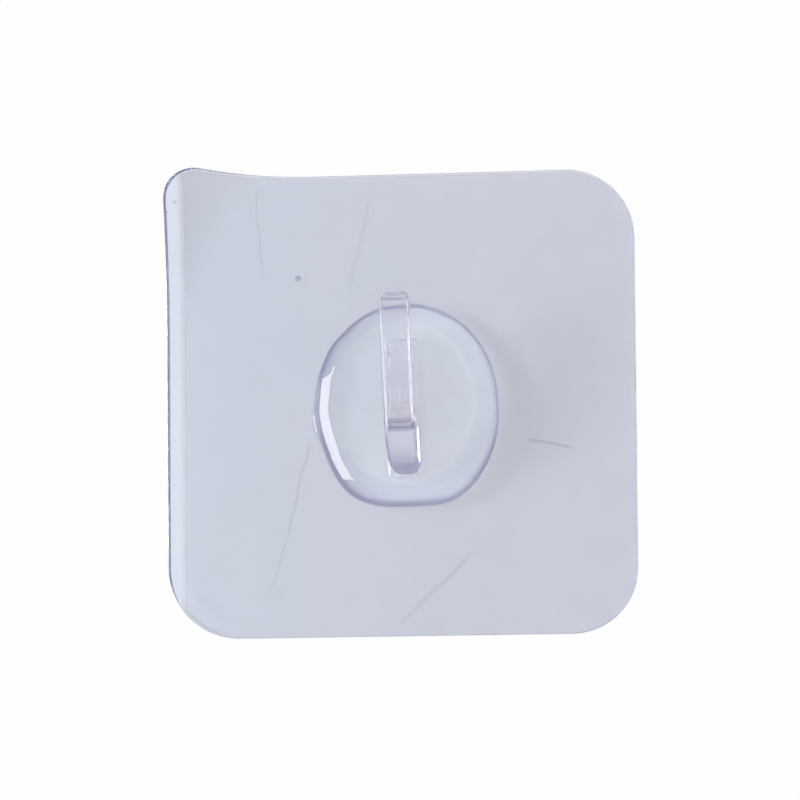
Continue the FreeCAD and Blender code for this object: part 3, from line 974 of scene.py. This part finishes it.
def bonded_material(name, colour):
    """Where one clear solid is bonded to another, light goes almost straight on."""
    mat, shader = material(name, BONDED_IOR, 1.0)
    shader.inputs["Base Color"].default_value = (*colour, 1)
    shader.inputs["Roughness"].default_value = 0
    return mat


# Stage

def camera():
    """The photograph's camera."""
    cam = bpy.data.cameras.new("camera")
    cam.lens = CAMERA_LENS
    cam.sensor_width = CAMERA_SENSOR
    obj = bpy.data.objects.new("camera", cam)
    bpy.context.scene.collection.objects.link(obj)
    a, e = CAMERA_AZIMUTH, CAMERA_ELEVATION
    back = Vector((math.sin(a) * math.cos(e), -math.cos(a) * math.cos(e), math.sin(e)))
    aim = Vector(CAMERA_AIM) * MM
    place = aim + back * CAMERA_DISTANCE * MM
    turn = (-back).to_track_quat("-Z", "Y").to_matrix() @ Matrix.Rotation(-CAMERA_ROLL, 3, "Z")
    obj.matrix_world = Matrix.Translation(place) @ turn.to_4x4()
    bpy.context.scene.camera = obj


def lamp(name, place, size, energy):
    """An oblong lamp that points at the middle of the wall face."""
    light = bpy.data.lights.new(name, "AREA")
    light.shape = "RECTANGLE"
    light.size, light.size_y = size
    light.energy = energy
    obj = bpy.data.objects.new(name, light)
    bpy.context.scene.collection.objects.link(obj)
    obj.location = place
    obj.rotation_mode = "QUATERNION"
    obj.rotation_quaternion = (-Vector(place)).to_track_quat("-Z", "Y")
    return obj


def world():
    """A white backdrop behind the object and to its left, and soft violet grey everywhere else."""
    sky = bpy.data.worlds.new("studio")
    bpy.context.scene.world = sky
    sky.use_nodes = True
    nodes, links = sky.node_tree.nodes, sky.node_tree.links
    coords = nodes.new("ShaderNodeTexCoord")
    facing = nodes.new("ShaderNodeVectorMath")
    facing.operation = "DOT_PRODUCT"
    facing.inputs[1].default_value = Vector(BACKDROP).normalized()
    links.new(coords.outputs["Generated"], facing.inputs[0])
    share = nodes.new("ShaderNodeMapRange")
    share.inputs["From Min"].default_value = -1
    links.new(facing.outputs["Value"], share.inputs["Value"])
    ramp = nodes.new("ShaderNodeValToRGB")
    ramp.color_ramp.interpolation = "EASE"
    for _ in range(len(SKY) - 2):
        ramp.color_ramp.elements.new(0.5)
    for element, (place, colour) in zip(ramp.color_ramp.elements, SKY):
        element.position = (place + 1) / 2
        element.color = (*colour, 1)
    links.new(share.outputs["Result"], ramp.inputs["Fac"])
    links.new(ramp.outputs["Color"], nodes["Background"].inputs["Color"])


def floor():
    """A round paper floor, far below the object."""
    turns = [2 * math.pi * k / FLOOR_SIDES for k in range(FLOOR_SIDES)]
    rim = [(FLOOR_REACH * math.cos(a), FLOOR_REACH * math.sin(a), FLOOR_Z) for a in turns]
    mesh = bpy.data.meshes.new("floor")
    mesh.from_pydata(rim, [], [tuple(range(FLOOR_SIDES))])
    obj = bpy.data.objects.new("floor", mesh)
    bpy.context.scene.collection.objects.link(obj)
    mesh.materials.append(paper_material())


def lights(glossy_pieces):
    """The key casts the tongue's shadow; the window's mirror image is the highlight on the glossy pieces."""
    key = lamp("key", *KEY)
    key.visible_glossy = False
    window = lamp("window", *WINDOW)
    window.visible_transmission = False
    glossy = bpy.data.collections.new("glossy")
    for piece in glossy_pieces:
        glossy.objects.link(piece)
    window.light_linking.receiver_collection = glossy


def pad_kind(place, front):
    """The material number at a place of the pad: its front is bonded under the dome, its back is hazed."""
    if not front:
        return HAZED
    return BONDED if inside(place, DOME_MARK) else OUTER


def film_kind(place, front):
    """The material number at a place of the film, whose whole front is bonded to the pad."""
    return BONDED if front else OUTER


DOME_MARK = dome_line(DOME_SEGMENTS)

camera()
world()
floor()
pad = sheet_piece("pad_sheet_clear", PAD_BACK - BOND, PAD_FRONT, PAD_EDGE, PAD_GRID, pad_relief,
                  [DOME_MARK], pad_kind, BUBBLES)
film = sheet_piece("adhesive_film_clear", 0.0, PAD_BACK, FILM_EDGE, FILM_GRID, no_relief, [], film_kind)
dome = dome_piece()
hook = hook_piece()
lights([dome, hook])

dress(pad, "pad_sheet", "soft_vinyl", vinyl_material(), wet_vinyl_material(), haze_material())
dress(film, "adhesive_film", "adhesive", adhesive_material(), bonded_material("adhesive_bonded", GLUE))
dress(dome, "resin_dome", "resin", resin_material(), bonded_material("resin_bonded", RESIN))
dress(hook, "hook", "clear_plastic", plastic_material(), bonded_material("plastic_bonded", PLASTIC))

bpy.context.scene.view_settings.view_transform = "Standard"
cycles = bpy.context.scene.cycles
cycles.max_bounces = BOUNCES
cycles.transmission_bounces = BOUNCES
cycles.glossy_bounces = MIRROR_BOUNCES
cycles.blur_glossy = MIRROR_BLUR
